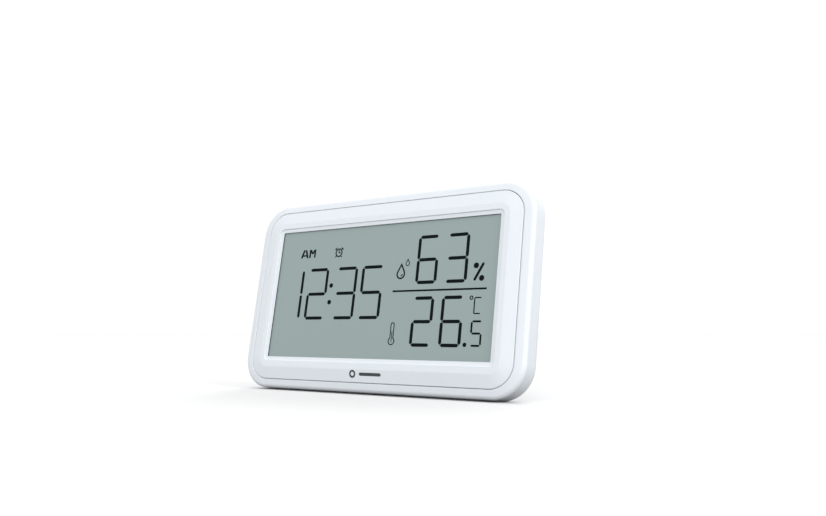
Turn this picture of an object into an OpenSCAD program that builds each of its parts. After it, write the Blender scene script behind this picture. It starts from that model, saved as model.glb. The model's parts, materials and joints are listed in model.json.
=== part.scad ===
// Desk clock that also reads room temperature and humidity.
// Millimetres. The case is designed upright, X to the right, Y into the depth and Z up, with the
// middle of its bottom front edge at the origin. placed() then leans it back on its kickstand.

/* [Case] */
// Width of the case
case_w = 110; // [104:1:120]
// Height of the case
case_h = 65; // [64:0.5:68]
// Depth of the flat frame, without the battery housing
frame_d = 9.8; // [9.6:0.1:11]
// Radius of the case corners, seen from the front
corner_r = 10.5; // [9:0.5:12]
// Angle that the case leans back on its stand
lean = 9.85; // [6:0.05:14]
// Width of the outer rim above and below, from the edge of the case to the seam
rim_w = 2.9; // [2.6:0.1:3.2]
// Width of the outer rim at the sides
rim_side = 3.6; // [2.9:0.1:3.6]
// Radius of the edge round the front of the rim
front_edge_r = 1.4; // [1:0.1:1.8]
// Radius of the edge round the back of the frame
back_edge_r = 3; // [2.5:0.1:3.5]
// Thickness of the back wall
wall = 1.8; // [1.6:0.1:2]

/* [Display] */
// Width of the display window
window_w = 88.2; // [84:0.2:89]
// Height of the display window
window_h = 44.2; // [42:0.2:45]
// Height of the window's lower edge above the bottom of the case
window_low = 10.5; // [10.2:0.1:11.5]
// Depth of the display below the front face
recess = 1; // [0.8:0.1:1]
// Width of the sloping wall round the window
recess_slope = 1.26; // [0.8:0.02:1.4]
// Stroke width of the large digits
stroke = 1.05; // [0.8:0.05:1.1]

/* [Battery housing] */
// Width of the battery housing
housing_w = 56; // [56:0.5:60]
// Height of the housing's lower face
housing_low = 13; // [12.5:0.1:13.5]
// Height of the housing's upper face
housing_high = 39.6; // [39.2:0.1:41]
// Overall depth from the front face to the back of the housing
housing_d = 20; // [20:0.1:22]

/* [Stand] */
// Depth of the stand's pivot behind the front face
pivot_y = 12.7; // [12.7:0.1:13.5]
// Height of the stand's pivot in the upright case
pivot_z = 34; // [30:0.5:34]
// Angle between the opened stand and the vertical
stand_spread = 14; // [12:0.5:14]
// Width of an arm of the stand
arm_w = 5; // [4:0.1:5]
// Thickness of an arm of the stand
arm_t = 3.5; // [3:0.1:4]

/* [Controls] */
// Width of a button
button_w = 9; // [7:0.5:9]
// Height of a button
button_h = 4.6; // [4:0.1:4.8]
// Distance between neighbouring buttons
button_pitch = 17; // [16:0.5:17.5]
// Height of the row of buttons
button_z = 46.4; // [45.5:0.1:46.6]

/* [Hidden] */
$fn = 48;
EPS = 0.02;

mid_z = case_h / 2;
seam_gap = 0.15;
bezel_inset = rim_w + seam_gap / 2;
casing_inset = rim_w - seam_gap / 2;
rim_front = 0.75;
seam_depth = 0.7;
band_slope_w = 4.1;
face_slope = atan(seam_depth / band_slope_w);
skirt_t = 1.5;
back_inner = frame_d - wall;
post_split = 5;

// Layers of the display, from the front
lip_t = 0.6;
gasket_inset = 0.12;
window_mid = window_low + window_h / 2;
film_t = 0.2;
glass_t = 1;
glass_w = window_w + 4.8;
glass_low = window_low - 3.3;
glass_high = window_low + window_h + 2.3;
ledge = 2.4;
front_glass_y = recess + film_t;
rear_glass_y = front_glass_y + glass_t;
reflector_y = rear_glass_y + glass_t;
ink_t = 0.05;
digit_low = 23.85;
digit_mid = 32.1;
digit_high = 40.55;

// Circuit board and what stands on it
board_y = 4.6;
board_t = 1;
board_back = board_y + board_t;
board_w = 92.4;
board_low = 4.7;
board_high = 60.2;
board_screw_x = 38;
board_screw_low = 5.9;
board_screw_high = 58.8;
BOARD_SCREWS = [
    [-board_screw_x, board_screw_low], [0, board_screw_low], [board_screw_x, board_screw_low],
    [-board_screw_x, board_screw_high], [board_screw_x, board_screw_high]
];
side_x = 38.5;
side_z = 26;

// Case screws
case_screw_x = case_w / 2 - 6.5;
case_screw_low = 8.5;
case_screw_high = case_h - 8.5;
CASE_SCREWS = [for (x = [-case_screw_x, case_screw_x], z = [case_screw_low, case_screw_high]) [x, z]];
screw_r = 1;
pilot_r = 0.85;
head_r = 1.9;
head_y = frame_d - 1.5;

// Battery compartment: two AAA cells side by side, one above the other
cell_r = 5.25;
cell_l = 44.5;
nub_l = 1;
nub_r = 1.9;
bay_w = 51.2;
bay_front = 7.2;
bay_floor_t = 1.2;
cell_y = bay_front + 0.2 + cell_r;
cell_gap = 0.6;
bay_low = housing_low + 1.9;
bay_high = bay_low + 4 * cell_r + cell_gap + 0.8;
lower_cell_z = bay_low + 0.4 + cell_r;
upper_cell_z = lower_cell_z + 2 * cell_r + cell_gap;
plate_t = 0.4;
plate_x = bay_w / 2 - 0.05 - plate_t;
plate_s = 9;
nub_tip = plate_x - 0.1;
spring_l = 2 * plate_x - cell_l - 0.3;
tail_w = 3;

// Battery door
door_t = 1.55;
door_clear = 0.15;
door_half = 25;
tongue = 1.35;
tongue_t = 0.55;
door_low = housing_low + 1.5;
door_y = housing_d - door_t;

// Buttons and switches
BUTTON_X = [for (i = [0 : 3]) (i - 1.5) * button_pitch];
button_clear = 0.2;
button_top = frame_d + 0.8;
flange_y = 7.3;
flange_t = 0.6;
flange_rim = 1;
switch_s = 6;
switch_t = 1.3;
stem_r = 1.6;
stem_fit = 0.06;
stem_low = board_back + 0.6;

// Keyhole for a wall screw
key_head_r = 4.3;
key_slot_r = 2.2;
key_z = 53.6;
key_rise = 4;
pocket_front = 5.6;
pocket_wall = 0.8;
notch_half = key_head_r + pocket_wall + 0.3;

// Stand, and the plane it stands on
stub_r = 1.92;
pivot_fit = 0.08;
stub_l = 1.7;
stand_gap = 0.3;
arm_x = housing_w / 2 + stand_gap;
bar_h = 5;
floor_cut = 0.15;
base_half = 42;
base_relief = 0.15;
edge_y = frame_d - back_edge_r;
floor_drop = back_edge_r - floor_cut - (back_edge_r * cos(lean) - edge_y * sin(lean));
pivot_height = pivot_z * cos(lean) - pivot_y * sin(lean) + floor_drop;
reach = pivot_height / cos(stand_spread);
open_angle = stand_spread + lean;
stop_gap = 0.03;
heel = (pivot_y - frame_d - stop_gap - arm_w / 2 * cos(open_angle)) / sin(open_angle);
front_reach = seam_depth * cos(lean) + bezel_inset * sin(lean);
foot_reach = pivot_y * cos(lean) + pivot_z * sin(lean) + reach * sin(stand_spread)
    + arm_w / 2 * cos(stand_spread);
origin_y = (front_reach + foot_reach) / 2;

// Leans the upright case back and puts the middle of its footprint at the origin.
module placed() {
    translate([0, -origin_y, floor_drop])
        rotate([-lean, 0, 0])
            children();
}

// Everything of a placed piece that is above the surface it stands on. Its lower edge is
// relieved past both ends of the strip that it stands on.
module above_floor() {
    difference() {
        placed()
            children();
        translate([-case_w, -case_w, -case_w])
            cube([2 * case_w, 2 * case_w, case_w]);
        for (x = [-case_w, base_half])
            translate([x, -case_w, -case_w])
                cube([case_w - base_half, 2 * case_w, case_w + base_relief]);
    }
}

// Turns a shape drawn flat, with its depth along -Z, to stand upright in the case.
module upright() {
    rotate([90, 0, 0])
        children();
}

// A box given by its ranges in X, Y and Z.
module block(x, y, z) {
    translate([x[0], y[0], z[0]])
        cube([x[1] - x[0], y[1] - y[0], z[1] - z[0]]);
}

// A cylinder along Y from depth y0 to y1.
module bore_y(x, z, r, y0, y1) {
    translate([x, y0, z])
        rotate([-90, 0, 0])
            cylinder(r = r, h = y1 - y0);
}

// A cylinder along X from x0 to x1.
module bore_x(y, z, r, x0, x1) {
    translate([x0, y, z])
        rotate([0, 90, 0])
            cylinder(r = r, h = x1 - x0);
}

// A rectangle with round corners, centred.
module round_rect(w, h, r) {
    square([w - 2 * r, h], center = true);
    square([w, h - 2 * r], center = true);
    for (x = [-1, 1], y = [-1, 1])
        translate([x * (w / 2 - r), y * (h / 2 - r)])
            circle(r);
}

// A rounded slab from depth y0 to y1, centred at height z.
module slab(w, h, r, z, y0, y1) {
    translate([0, 0, z])
        upright()
            translate([0, 0, -y1])
                linear_extrude(y1 - y0)
                    round_rect(w, h, r);
}

// A slab whose edge follows a profile all the way round. The profile is a 2D child that reaches
// from 0, at the corner's centre, out to r, with its depth along -Y from y0 to y1.
module edged_slab(w, h, r, z, y0, y1) {
    translate([0, 0, z])
        upright() {
            for (side = [0 : 3]) {
                a = side % 2 == 0 ? w / 2 : h / 2;
                b = side % 2 == 0 ? h / 2 : w / 2;
                rotate([0, 0, 90 * side])
                    translate([a - r, b - r, 0]) {
                        rotate_extrude(angle = 90)
                            children();
                        rotate([90, 0, 0])
                            linear_extrude(2 * (b - r))
                                children();
                    }
            }
            translate([0, 0, -(y0 + y1) / 2])
                cube([w - 2 * r, h - 2 * r, y1 - y0], center = true);
        }
}

// What a round edge of radius r takes off a square corner, which points to +X and +Y.
module corner_waste(r) {
    difference() {
        square(r + 1);
        circle(r);
    }
}

// Section of the case's edge: rim that slopes like the bezel, round front edge, side wall, round
// back edge. The front edge touches the slope and the side wall.
module case_section() {
    fall = (rim_w - front_edge_r) * tan(face_slope) + front_edge_r / cos(face_slope);
    mid = [corner_r - front_edge_r, -rim_front - fall];
    difference() {
        union() {
            polygon([
                [0, -rim_front], [corner_r - rim_w, -rim_front],
                mid + front_edge_r * [sin(face_slope), cos(face_slope)], mid,
                [corner_r, mid[1]], [corner_r, -frame_d], [0, -frame_d]
            ]);
            translate(mid)
                circle(front_edge_r);
        }
        translate([corner_r - back_edge_r, back_edge_r - frame_d])
            mirror([0, 1])
                corner_waste(back_edge_r);
    }
}

// Section of the battery housing's edge, with a round back edge.
module housing_section(r, edge) {
    difference() {
        translate([0, -housing_d])
            square([r, housing_d - frame_d + wall]);
        translate([r - edge, edge - housing_d])
            mirror([0, 1])
                corner_waste(edge);
    }
}

module housing_block() {
    r = 4;
    edge = 2;
    z = (housing_low + housing_high) / 2;
    edged_slab(housing_w, housing_high - housing_low, r, z, back_inner, housing_d)
        housing_section(r, edge);
}

module front_bezel() {
    w = case_w - 2 * rim_side - seam_gap;
    h = case_h - 2 * bezel_inset;
    r = corner_r - bezel_inset;
    plate_back = 2;
    color("whitesmoke")
        placed()
            difference() {
                union() {
                    difference() {
                        edged_slab(w, h, r, mid_z, 0, plate_back + skirt_t + 1)
                            polygon([
                                [0, 0], [r - band_slope_w, 0], [r, -seam_depth],
                                [r, -plate_back - skirt_t - 1], [0, -plate_back - skirt_t - 1]
                            ]);
                        slab(w - 2 * skirt_t, h - 2 * skirt_t, r - skirt_t, mid_z,
                            plate_back, board_y + 1);
                    }
                    for (s = CASE_SCREWS)
                        bore_y(s[0], s[1], 2.1, plate_back - 1, post_split);
                    for (s = BOARD_SCREWS)
                        bore_y(s[0], s[1], 1.3, plate_back - 1, board_y);
                }
                block([-glass_w / 2 - 0.2, glass_w / 2 + 0.2], [lip_t, board_y + 1],
                    [glass_low - 0.2, glass_high + 0.2]);
                window_cut();
                for (s = CASE_SCREWS)
                    bore_y(s[0], s[1], pilot_r, plate_back - 0.2, post_split + 1);
                for (s = BOARD_SCREWS)
                    bore_y(s[0], s[1], 0.6, plate_back - 0.4, board_y + 1);
            }
}

// The window's opening, with its sloping wall.
module window_cut() {
    corner = 0.4;
    r = recess_slope + corner;
    edged_slab(window_w + 2 * recess_slope, window_h + 2 * recess_slope, r, window_mid, -1, recess + 1)
        polygon([[0, 1], [r, 1], [r, 0], [corner, -lip_t], [corner, -recess - 1], [0, -recess - 1]]);
}

module rear_casing() {
    color("whitesmoke")
        above_floor()
            difference() {
                union() {
                    difference() {
                        edged_slab(case_w, case_h, corner_r, mid_z, rim_front, frame_d)
                            case_section();
                        slab(case_w - 2 * rim_side + seam_gap, case_h - 2 * casing_inset,
                            corner_r - casing_inset, mid_z, 0, back_inner);
                    }
                    housing_block();
                    block([-housing_w / 2, housing_w / 2], [bay_front - bay_floor_t, frame_d - 0.5],
                        [housing_low, housing_high]);
                    for (s = CASE_SCREWS)
                        bore_y(s[0], s[1], 2.1, post_split, back_inner + 0.5);
                    key_pocket();
                }
                battery_bay();
                door_channel();
                for (s = CASE_SCREWS) {
                    bore_y(s[0], s[1], screw_r + 0.15, post_split - 1, head_y);
                    bore_y(s[0], s[1], head_r + 0.15, head_y, frame_d + 1);
                }
                for (x = BUTTON_X)
                    translate([x, 0, 0])
                        slab(button_w + 2 * button_clear, button_h + 2 * button_clear,
                            button_h / 2 + button_clear - EPS, button_z, back_inner - 1, frame_d + 1);
                key_slot(key_slot_r, key_head_r, back_inner - 0.5, frame_d + 1);
                vents();
                sound_holes();
                for (side = [-1, 1])
                    bore_x(pivot_y, pivot_z, stub_r + pivot_fit,
                        side * (housing_w / 2 - 0.4) - 1.4, side * (housing_w / 2 - 0.4) + 1.4);
            }
}

// Space for the cells, and the slots through its front wall for the contact tails.
module battery_bay() {
    block([-bay_w / 2, bay_w / 2], [bay_front, housing_d - door_t - door_clear + EPS],
        [bay_low, bay_high]);
    for (z = [lower_cell_z, upper_cell_z])
        block([-bay_w / 2, -bay_w / 2 + plate_t + 0.3], [bay_front - bay_floor_t - 1, bay_front + 1],
            [z - tail_w / 2 - 0.2, z + tail_w / 2 + 0.2]);
}

// The way that the battery door slides in, with a groove for its tongues.
module door_channel() {
    groove = door_half + tongue + door_clear;
    z = [door_low - 0.1, housing_high + 1];
    block([-groove, groove], [door_y - door_clear, door_y + tongue_t + door_clear], z);
    block([-door_half - door_clear, door_half + door_clear], [door_y - door_clear, housing_d + 1], z);
}

// Keyhole outline through the wall: a round entry and a narrower slot above it.
module key_slot(slot_r, head_r, y0, y1) {
    bore_y(0, key_z, head_r, y0, y1);
    bore_y(0, key_z + key_rise, slot_r, y0, y1);
    block([-slot_r, slot_r], [y0, y1], [key_z, key_z + key_rise]);
}

// Closed pocket behind the keyhole that keeps a screw head off the circuit board.
module key_pocket() {
    difference() {
        key_slot(key_head_r + pocket_wall, key_head_r + pocket_wall, pocket_front - pocket_wall,
            back_inner + 0.5);
        key_slot(key_head_r, key_head_r, pocket_front, back_inner);
    }
}

// Openings that let room air reach the sensors.
module vents() {
    for (i = [-2 : 2])
        translate([-side_x, 0, 0])
            slab(11, 1.3, 0.64, side_z + 3 * i, back_inner - 1, frame_d + 1);
}

module sound_holes() {
    bore_y(side_x, side_z, 0.75, back_inner - 1, frame_d + 1);
    for (a = [0 : 60 : 300])
        bore_y(side_x + 3.6 * cos(a), side_z + 3.6 * sin(a), 0.75, back_inner - 1, frame_d + 1);
}

// Black foam frame that keeps dust out between the bezel and the display.
module display_gasket() {
    w = window_w + 2 * gasket_inset;
    h = window_h + 2 * gasket_inset;
    color("black")
        placed()
            difference() {
                block([-glass_w / 2 + 0.2, glass_w / 2 - 0.2], [lip_t, recess],
                    [glass_low + ledge, glass_high - 0.5]);
                block([-w / 2, w / 2], [0, recess + 1], [window_mid - h / 2, window_mid + h / 2]);
            }
}

module front_polariser() {
    color("darkseagreen")
        placed()
            block([-glass_w / 2 + 0.5, glass_w / 2 - 0.5], [recess, recess + film_t],
                [glass_low + ledge, glass_high - 0.5]);
}

module lcd_front_glass() {
    color("powderblue")
        placed()
            block([-glass_w / 2, glass_w / 2], [front_glass_y, rear_glass_y], [glass_low, glass_high]);
}

module lcd_rear_glass() {
    color("lightblue")
        placed()
            block([-glass_w / 2, glass_w / 2], [rear_glass_y, reflector_y],
                [glass_low + ledge, glass_high]);
}

module reflector() {
    color("silver")
        placed()
            block([-glass_w / 2 + 0.5, glass_w / 2 - 0.5], [reflector_y, reflector_y + film_t],
                [glass_low + ledge + 0.5, glass_high - 0.5]);
}

// A bar between two points, with pointed ends, as a segment of a display has.
module bar(p, q, t) {
    d = q - p;
    l = norm(d);
    translate(p)
        rotate([0, 0, atan2(d[1], d[0])])
            polygon([[0, 0], [t / 2, -t / 2], [l - t / 2, -t / 2], [l, 0], [l - t / 2, t / 2], [t / 2, t / 2]]);
}

// A seven-segment digit between centre lines x[0], x[1] and three heights z, lowest first.
// Segments are named a to g, clockwise from the top, with g in the middle.
module digit(lit, x, z, t) {
    gap = 0.12;
    ends = [
        [[x[0], z[2]], [x[1], z[2]]], [[x[1], z[2]], [x[1], z[1]]], [[x[1], z[1]], [x[1], z[0]]],
        [[x[0], z[0]], [x[1], z[0]]], [[x[0], z[1]], [x[0], z[0]]], [[x[0], z[2]], [x[0], z[1]]],
        [[x[0], z[1]], [x[1], z[1]]]
    ];
    for (i = lit) {
        p = ends[i][0];
        q = ends[i][1];
        u = (q - p) / norm(q - p) * gap;
        bar(p + u, q - u, t);
    }
}

// Segments that each figure lights.
ONE = [1, 2];
TWO = [0, 1, 6, 4, 3];
THREE = [0, 1, 6, 2, 3];
FIVE = [0, 5, 6, 2, 3];
SIX = [0, 5, 6, 4, 2, 3];

// The two letters that tell morning from afternoon.
module morning_sign() {
    z = [44.9, 48.1];
    a_x = -33.15;
    m_x = -29.65;
    for (s = [-1, 1]) {
        bar([a_x + s * 1.45, z[0]], [a_x + s * 0.3, z[1]], 0.72);
        bar([m_x + s * 1.1, z[0]], [m_x + s * 1.1, z[1]], 0.68);
        bar([m_x + s * 0.8, 47.9], [m_x + s * 0.05, 46.3], 0.55);
    }
    bar([a_x - 0.9, 45.9], [a_x + 0.9, 45.9], 0.5);
}

// A small alarm clock: a ring with two bells, two hands and two feet.
module alarm_sign() {
    translate([-17.7, 46.2]) {
        difference() {
            circle(1.5);
            circle(1.08);
        }
        bar([0, -0.2], [0, 0.95], 0.36);
        bar([-0.2, -0.05], [0.75, -0.05], 0.36);
        for (s = [-1, 1]) {
            bar([s * 0.9, 1.75], [s * 1.8, 1], 0.5);
            bar([s * 1, -1.15], [s * 1.45, -1.6], 0.42);
        }
    }
}

// Outline of a water drop whose tip is h above the middle of its round part.
module drop_sign(x, z, r, h, t) {
    translate([x, z])
        difference() {
            drop_shape(r, h);
            drop_shape(r - t, h - 2 * t);
        }
}

module drop_shape(r, h) {
    a = acos(r / h);
    circle(r);
    polygon([[0, h], [-r * sin(a), r * cos(a)], [0, 0], [r * sin(a), r * cos(a)]]);
}

// The glint in the larger drop: a quarter of a thin ring, low on its right side.
module glint_sign(x, z) {
    r = 0.75;
    translate([x, z])
        intersection() {
            difference() {
                circle(r);
                circle(r - 0.3);
            }
            translate([0, -r])
                square(r);
        }
}

// A thermometer: an open outline with a thin column that stands in its bulb.
module thermometer_sign() {
    line = 0.3;
    translate([8, 16.3]) {
        difference() {
            thermometer_shape(0);
            thermometer_shape(line);
        }
        translate([-0.12, -0.3])
            square([0.24, 3.3]);
    }
}

module thermometer_shape(inset) {
    bulb_r = 1.25 - inset;
    tube_r = 0.74 - inset;
    circle(bulb_r);
    translate([-tube_r, 0])
        square([2 * tube_r, 5.2]);
    translate([0, 5.2])
        circle(tube_r);
}

module percent_sign() {
    dot_r = 0.88;
    translate([36.65, 39.3])
        circle(dot_r);
    translate([38.8, 35.4])
        circle(dot_r);
    bar([36.2, 34.6], [39.25, 40.15], 0.85);
}

module celsius_sign() {
    t = 0.36;
    translate([35.87, 29.5])
        difference() {
            circle(0.65);
            circle(0.33);
        }
    bar([37.1, 29.5], [39.3, 29.5], t);
    bar([37.05, 24.7], [37.05, 29.5], t);
    bar([37.1, 24.72], [39.25, 24.72], t);
}

// Everything that the display shows, drawn flat.
module readout() {
    clock_z = [digit_low, digit_mid, digit_high];
    humidity_z = [34.75, 42, 49.35];
    warmth_z = [15.2, 22.4, 29.75];
    digit(ONE, [-40.5, -32.6], clock_z, stroke);
    digit(TWO, [-29.45, -21.6], clock_z, stroke);
    digit(THREE, [-16.95, -9.05], clock_z, stroke);
    digit(FIVE, [-6.15, 1.7], clock_z, stroke);
    for (z = [29.2, 34.9])
        translate([-19.4, z])
            circle(0.78);
    digit(SIX, [15.45, 22.3], humidity_z, stroke);
    digit(THREE, [26.25, 33.15], humidity_z, stroke);
    digit(TWO, [15.45, 22.2], warmth_z, stroke);
    digit(SIX, [26.1, 32.85], warmth_z, stroke);
    digit(FIVE, [36.7, 40], [15.2, 18.8, 22.4], 0.6);
    translate([34.8, 15.45])
        circle(0.65);
    translate([6.6, 31.92])
        square([34.2, 0.56]);
    morning_sign();
    alarm_sign();
    drop_sign(9.1, 37.75, 1.68, 3.6, 0.48);
    glint_sign(9.1, 37.75);
    drop_sign(11.4, 41.05, 0.8, 1.7, 0.26);
    thermometer_sign();
    percent_sign();
    celsius_sign();
}

module display_segments() {
    color("darkslategray")
        placed()
            upright()
                translate([0, 0, -recess])
                    linear_extrude(ink_t)
                        readout();
}

module contact_strip() {
    color("dimgray")
        placed()
            block([-42, 42], [rear_glass_y, board_y], [glass_low + 0.3, glass_low + 2.3]);
}

module main_board() {
    color("darkgoldenrod")
        placed()
            difference() {
                block([-board_w / 2, board_w / 2], [board_y, board_back], [board_low, board_high]);
                block([-notch_half, notch_half], [board_y - 1, board_back + 1],
                    [key_z - notch_half, board_high + 1]);
                for (s = BOARD_SCREWS)
                    bore_y(s[0], s[1], 0.95, board_y - 1, board_back + 1);
            }
}

module controller_blob() {
    r = 5.5;
    rise = 1.4;
    ball = (r * r + rise * rise) / (2 * rise);
    color("black")
        placed()
            intersection() {
                translate([-side_x, board_back + rise - ball, button_z])
                    sphere(ball, $fn = 96);
                bore_y(-side_x, button_z, r + 1, board_back, board_back + rise + 1);
            }
}

module crystal_can() {
    color("silver")
        placed() {
            bore_x(board_back + 1, 38, 1, -41, -35);
            for (z = [37.65, 38.35])
                bore_x(board_back + 1, z, 0.15, -34.98, -33);
        }
}

module buffer_capacitor() {
    color("goldenrod")
        placed()
            block([side_x - 2, side_x + 2], [board_back, board_back + 1.9], [45, 48]);
}

module humidity_sensor() {
    color("white")
        placed()
            difference() {
                block([-side_x - 4, -side_x + 4], [board_back, board_back + 1.8],
                    [side_z - 2.6, side_z + 2.6]);
                for (i = [-1 : 1])
                    block([-side_x - 3, -side_x + 3], [board_back + 1, board_back + 2],
                        [side_z + 1.5 * i - 0.4, side_z + 1.5 * i + 0.4]);
            }
}

module thermistor() {
    color("saddlebrown")
        placed()
            translate([-side_x, board_back + 1, 17])
                sphere(0.9);
}

module switch_cases() {
    color("silver")
        placed()
            for (x = BUTTON_X)
                difference() {
                    block([x - switch_s / 2, x + switch_s / 2], [board_back, board_back + switch_t],
                        [button_z - switch_s / 2, button_z + switch_s / 2]);
                    bore_y(x, button_z, stem_r + stem_fit, board_back + 0.25, board_back + 2);
                }
}

module button_at(x) {
    color("whitesmoke")
        placed()
            translate([x, 0, 0]) {
                slab(button_w, button_h, button_h / 2 - EPS, button_z, flange_y + flange_t - 0.1, button_top);
                slab(button_w + 2 * flange_rim, button_h + 2 * flange_rim, 1, button_z,
                    flange_y, flange_y + flange_t);
            }
}

module stem_at(x) {
    color("black")
        placed()
            bore_y(x, button_z, stem_r, stem_low, flange_y);
}

module mode_button() {
    button_at(BUTTON_X[0]);
}

module mode_stem() {
    stem_at(BUTTON_X[0]);
}

module up_button() {
    button_at(BUTTON_X[1]);
}

module up_stem() {
    stem_at(BUTTON_X[1]);
}

module down_button() {
    button_at(BUTTON_X[2]);
}

module down_stem() {
    stem_at(BUTTON_X[2]);
}

module unit_button() {
    button_at(BUTTON_X[3]);
}

module unit_stem() {
    stem_at(BUTTON_X[3]);
}

module battery_door() {
    color("whitesmoke")
        placed() {
            difference() {
                intersection() {
                    housing_block();
                    block([-door_half, door_half], [door_y, housing_d + 1], [door_low, housing_high + 1]);
                }
                for (i = [0 : 3])
                    block([-7, 7], [housing_d - 0.5, housing_d + 1],
                        [housing_high - 10 + 1.9 * i, housing_high - 9.1 + 1.9 * i]);
            }
            for (side = [-1, 1])
                block([side < 0 ? -door_half - tongue : door_half - 1, side < 0 ? 1 - door_half : door_half + tongue],
                    [door_y, door_y + tongue_t], [door_low, housing_high - 1.2]);
        }
}

// Side view of an arm, folded down, with its pivot at the origin. The heel meets the back of the
// case when the stand is open, and stops it there.
module arm_outline() {
    circle(arm_w / 2);
    translate([-arm_w / 2, 0])
        square([arm_w / 2, heel]);
    translate([-arm_w / 2, -reach - 1])
        square([arm_w, reach + 1]);
}

module kickstand() {
    color("whitesmoke")
        above_floor()
            translate([0, pivot_y, pivot_z])
                rotate([open_angle, 0, 0]) {
                    for (side = [-1, 1]) {
                        translate([side > 0 ? arm_x : -arm_x - arm_t, 0, 0])
                            rotate([90, 0, 90])
                                linear_extrude(arm_t)
                                    arm_outline();
                        bore_x(0, 0, stub_r, side > 0 ? arm_x - stand_gap - stub_l + 0.1 : -arm_x - 0.5,
                            side > 0 ? arm_x + 0.5 : stand_gap + stub_l - 0.1 - arm_x);
                    }
                    block([-arm_x - arm_t, arm_x + arm_t], [-arm_w / 2, arm_w / 2],
                        [-reach - 1, bar_h - reach]);
                }
}

// A cell along X whose positive end points to the side given by its sign.
module cell(z, side) {
    placed()
        translate([side * nub_tip, cell_y, z])
            rotate([0, -90 * side, 0]) {
                cylinder(r = nub_r, h = nub_l + 0.5);
                translate([0, 0, nub_l])
                    cylinder(r = cell_r, h = cell_l - nub_l);
            }
}

module upper_cell() {
    color("seagreen")
        cell(upper_cell_z, 1);
}

module lower_cell() {
    color("seagreen")
        cell(lower_cell_z, -1);
}

// A contact plate at one end of the bay.
module contact_plate(side, z0, z1) {
    block([side > 0 ? plate_x : -plate_x - plate_t, side > 0 ? plate_x + plate_t : -plate_x],
        [cell_y - plate_s / 2, cell_y + plate_s / 2], [z0, z1]);
}

// The tail of a contact plate, which is soldered to the board.
module contact_tail(z) {
    block([-plate_x - plate_t, -plate_x], [board_back, cell_y], [z - tail_w / 2, z + tail_w / 2]);
}

module positive_contact() {
    color("silver")
        placed() {
            contact_plate(-1, lower_cell_z - plate_s / 2, lower_cell_z + plate_s / 2);
            contact_tail(lower_cell_z);
        }
}

module negative_contact() {
    color("silver")
        placed() {
            contact_plate(-1, upper_cell_z - plate_s / 2, upper_cell_z + plate_s / 2);
            contact_tail(upper_cell_z);
        }
}

module link_contact() {
    color("silver")
        placed()
            contact_plate(1, lower_cell_z - plate_s / 2, upper_cell_z + plate_s / 2);
}

// A conical spring, wide at its plate, made of rings that touch.
module spring_at(z, side) {
    turns = 5;
    wire = 0.6;
    wide = 3.4;
    narrow = 2;
    pitch = (spring_l - wire) / (turns - 1);
    placed()
        translate([side * (plate_x - EPS), cell_y, z])
            rotate([0, -90 * side, 0]) {
                for (i = [0 : turns - 1])
                    translate([0, 0, wire / 2 + i * pitch])
                        rotate_extrude()
                            translate([wide + (narrow - wide) * i / (turns - 1), 0])
                                circle(wire / 2, $fn = 16);
                for (i = [0 : turns - 2])
                    translate([wide - 0.3 + (narrow - wide) * (i + 0.5) / (turns - 1), 0, wire / 2 + i * pitch])
                        cylinder(r = 0.25, h = pitch, $fn = 16);
            }
}

module negative_spring() {
    color("silver")
        spring_at(upper_cell_z, -1);
}

module link_spring() {
    color("silver")
        spring_at(lower_cell_z, 1);
}

module piezo_plate() {
    color("goldenrod")
        placed()
            bore_y(side_x, side_z, 7, back_inner - 0.25, back_inner);
}

module piezo_ceramic() {
    color("ivory")
        placed()
            bore_y(side_x, side_z, 4.8, back_inner - 0.5, back_inner - 0.25);
}

module buzzer_springs() {
    color("silver")
        placed() {
            bore_y(side_x - 5.8, side_z, 0.6, board_back, back_inner - 0.25);
            bore_y(side_x, side_z, 0.6, board_back, back_inner - 0.5);
        }
}

// A cross-recessed screw along Y, with its tip towards the front.
module screw(x, z, r, head, tip_y, seat_y, head_t) {
    difference() {
        union() {
            bore_y(x, z, r, tip_y, seat_y + 0.1);
            bore_y(x, z, head, seat_y, seat_y + head_t);
        }
        for (a = [0, 90])
            translate([x, seat_y + head_t, z])
                rotate([0, a, 0])
                    cube([1.3 * head, head_t, 0.3 * head], center = true);
    }
}

module casing_screws() {
    color("silver")
        placed()
            for (s = CASE_SCREWS)
                screw(s[0], s[1], screw_r, head_r, 2, head_y, 1.1);
}

module board_screws() {
    color("silver")
        placed()
            for (s = BOARD_SCREWS)
                screw(s[0], s[1], 0.8, 1.5, 2, board_back, 0.8);
}

front_bezel();
rear_casing();
display_gasket();
front_polariser();
lcd_front_glass();
lcd_rear_glass();
reflector();
display_segments();
contact_strip();
main_board();
controller_blob();
crystal_can();
buffer_capacitor();
humidity_sensor();
thermistor();
switch_cases();
mode_button();
mode_stem();
up_button();
up_stem();
down_button();
down_stem();
unit_button();
unit_stem();
battery_door();
kickstand();
upper_cell();
lower_cell();
positive_contact();
negative_contact();
link_contact();
negative_spring();
link_spring();
piezo_plate();
piezo_ceramic();
buzzer_springs();
casing_screws();
board_screws();
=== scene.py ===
"""Looks of a white desk clock that also reads room temperature and humidity.

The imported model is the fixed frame. Every shell that shows is rebuilt here as a smooth surface in
the case's own upright frame, in millimetres, and then put where the frame's joints say the case is.
"""

import json
import logging
import math
from dataclasses import dataclass, field
from enum import Enum
from typing import Iterable, Optional, Sequence

import bmesh
import bpy
import numpy as np
from mathutils import Matrix, Vector


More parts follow.
